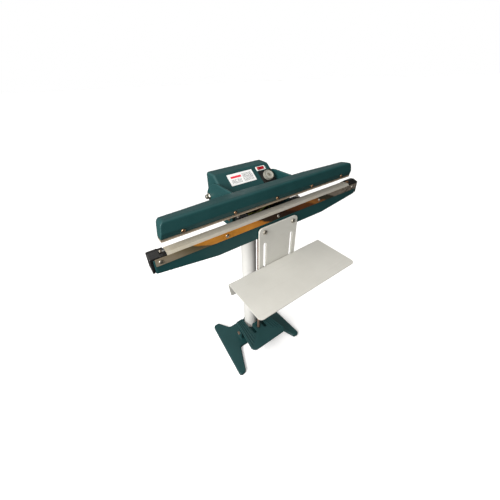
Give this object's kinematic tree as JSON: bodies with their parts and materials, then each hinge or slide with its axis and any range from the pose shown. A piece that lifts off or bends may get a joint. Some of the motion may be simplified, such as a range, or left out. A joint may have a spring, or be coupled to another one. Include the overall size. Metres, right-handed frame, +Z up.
{
  "type": "foot-operated impulse heat sealer",
  "caption": "Pedal-driven impulse bag sealer: a boat-shaped lower jaw and a hinged upper jaw on a column, with a sliding work tray, a control box and a pull rod.",
  "frame": {"origin": "on the floor, on the axis of the column, at the middle of the base casting's underside", "axes": "+X along the jaws to the operator's right, +Y away from the operator, +Z up"},
  "size_m": [0.6901, 0.3931, 0.75],
  "materials": {
    "green_casting": "dark green enamel over cast aluminium, semi-gloss",
    "green_iron": "dark green enamel over cast iron, semi-gloss",
    "green_sheet": "dark green enamel, semi-gloss",
    "white_enamel": "white enamel, satin",
    "cream_sheet": "off-white powder coat, satin",
    "mirror_steel": "polished stainless strip",
    "zinc_steel": "zinc plated",
    "brass": "worn brass plate",
    "worn_steel": "dull steel with light rust",
    "spring_steel": "bright drawn wire",
    "black_bakelite": "moulded, semi-gloss",
    "glass_cloth_tape": "woven glass cloth with a fluoropolymer coat",
    "silicone": "matt heat-resistant silicone rubber",
    "bare_aluminium": "extruded, lightly oxidised",
    "white_plastic": "satin",
    "red_plastic": "translucent red, glossy",
    "dial_plastic": "moulded knob, satin",
    "copper_winding": "enamelled copper wire under varnish",
    "lamination_steel": "varnished laminations",
    "circuit_board": "solder mask",
    "earth_insulation": "green and yellow insulation"
  },
  "bodies": {
    "stand": {"base_casting": "green_iron", "column": "white_enamel", "flange_bolt_1": "zinc_steel", "flange_bolt_2": "zinc_steel", "flange_bolt_3": "zinc_steel", "flange_bolt_4": "zinc_steel", "return_spring": "spring_steel", "lower_casting": "green_casting", "seal_bar": "bare_aluminium", "heating_ribbon": "spring_steel", "ptfe_cover": "glass_cloth_tape", "cover_strip": "mirror_steel", "earth_wire": "earth_insulation", "tray_bracket": "cream_sheet", "pivot_shaft": "zinc_steel", "strip_screw_1": "zinc_steel", "strip_screw_2": "zinc_steel", "strip_screw_3": "zinc_steel", "strip_screw_4": "zinc_steel", "strip_screw_5": "zinc_steel", "pedal_pin_left": "worn_steel", "pedal_pin_right": "worn_steel", "terminal_block_left": "black_bakelite", "terminal_block_right": "black_bakelite", "ribbon_clamp_left": "brass", "ribbon_clamp_right": "brass", "element_tab_left": "black_bakelite", "element_tab_right": "black_bakelite", "tab_bolt_left": "zinc_steel", "tab_bolt_right": "zinc_steel", "bracket_bolt_left": "zinc_steel", "bracket_bolt_right": "zinc_steel", "pivot_nut_left": "zinc_steel", "pivot_nut_right": "zinc_steel", "control_box": "green_sheet", "label_plate": "white_plastic", "switch_bezel": "white_plastic", "dial_plate": "black_bakelite", "potentiometer": "bare_aluminium", "timer_board": "circuit_board", "transformer_core": "lamination_steel", "transformer_coil": "copper_winding", "microswitch": "black_bakelite", "cable_gland": "black_bakelite"},
    "jaw": {"upper_jaw": "green_casting", "pad_holder": "bare_aluminium", "silicone_pad": "silicone", "yoke_crossbar": "worn_steel", "jaw_screw_1": "brass", "jaw_screw_2": "brass", "jaw_screw_3": "brass", "jaw_screw_4": "brass", "jaw_screw_5": "brass"},
    "rod": {"pull_rod": "worn_steel"},
    "pedal": {"pedal": "green_iron"},
    "tray": {"work_tray": "cream_sheet", "tray_clamp_left": "zinc_steel", "tray_clamp_right": "zinc_steel"},
    "dial": {"timer_dial": "dial_plastic"},
    "rocker": {"power_rocker": "red_plastic"}
  },
  "joints": [
    {"name": "jaw_hinge", "type": "hinge", "parent": "stand", "child": "jaw", "pos_m": [0, 0.052, 0.678], "axis": [1, 0, 0], "range_deg": [0, 6.5], "stiffness_Nm_per_rad": 40, "springref_deg": -20.05},
    {"name": "rod_slide", "type": "slide", "parent": "stand", "child": "rod", "axis": [0, 0, -1], "range_m": [0, 0.0128], "deforming": ["return_spring"]},
    {"name": "pedal_hinge", "type": "hinge", "parent": "stand", "child": "pedal", "pos_m": [0, -0.016, 0.04], "axis": [1, 0, 0], "range_deg": [0, 16.6]},
    {"name": "tray_slide", "type": "slide", "parent": "stand", "child": "tray", "axis": [0, 0, 1], "range_m": [-0.012, 0.09]},
    {"name": "dial_turn", "type": "hinge", "parent": "stand", "child": "dial", "pos_m": [0.068, -0.01387, 0.72016], "axis": [0, -0.6089, 0.7932], "range_deg": [0, 270]},
    {"name": "rocker_tip", "type": "hinge", "parent": "stand", "child": "rocker", "pos_m": [0.06, 0.0117, 0.74105], "axis": [0, -0.7932, -0.6089], "range_deg": [0, 14]}
  ],
  "couplings": [
    {"joint": "rod_slide", "follows": "jaw_hinge", "m_per_rad": 0.1119},
    {"joint": "pedal_hinge", "follows": "jaw_hinge", "ratio": 2.544}
  ]
}
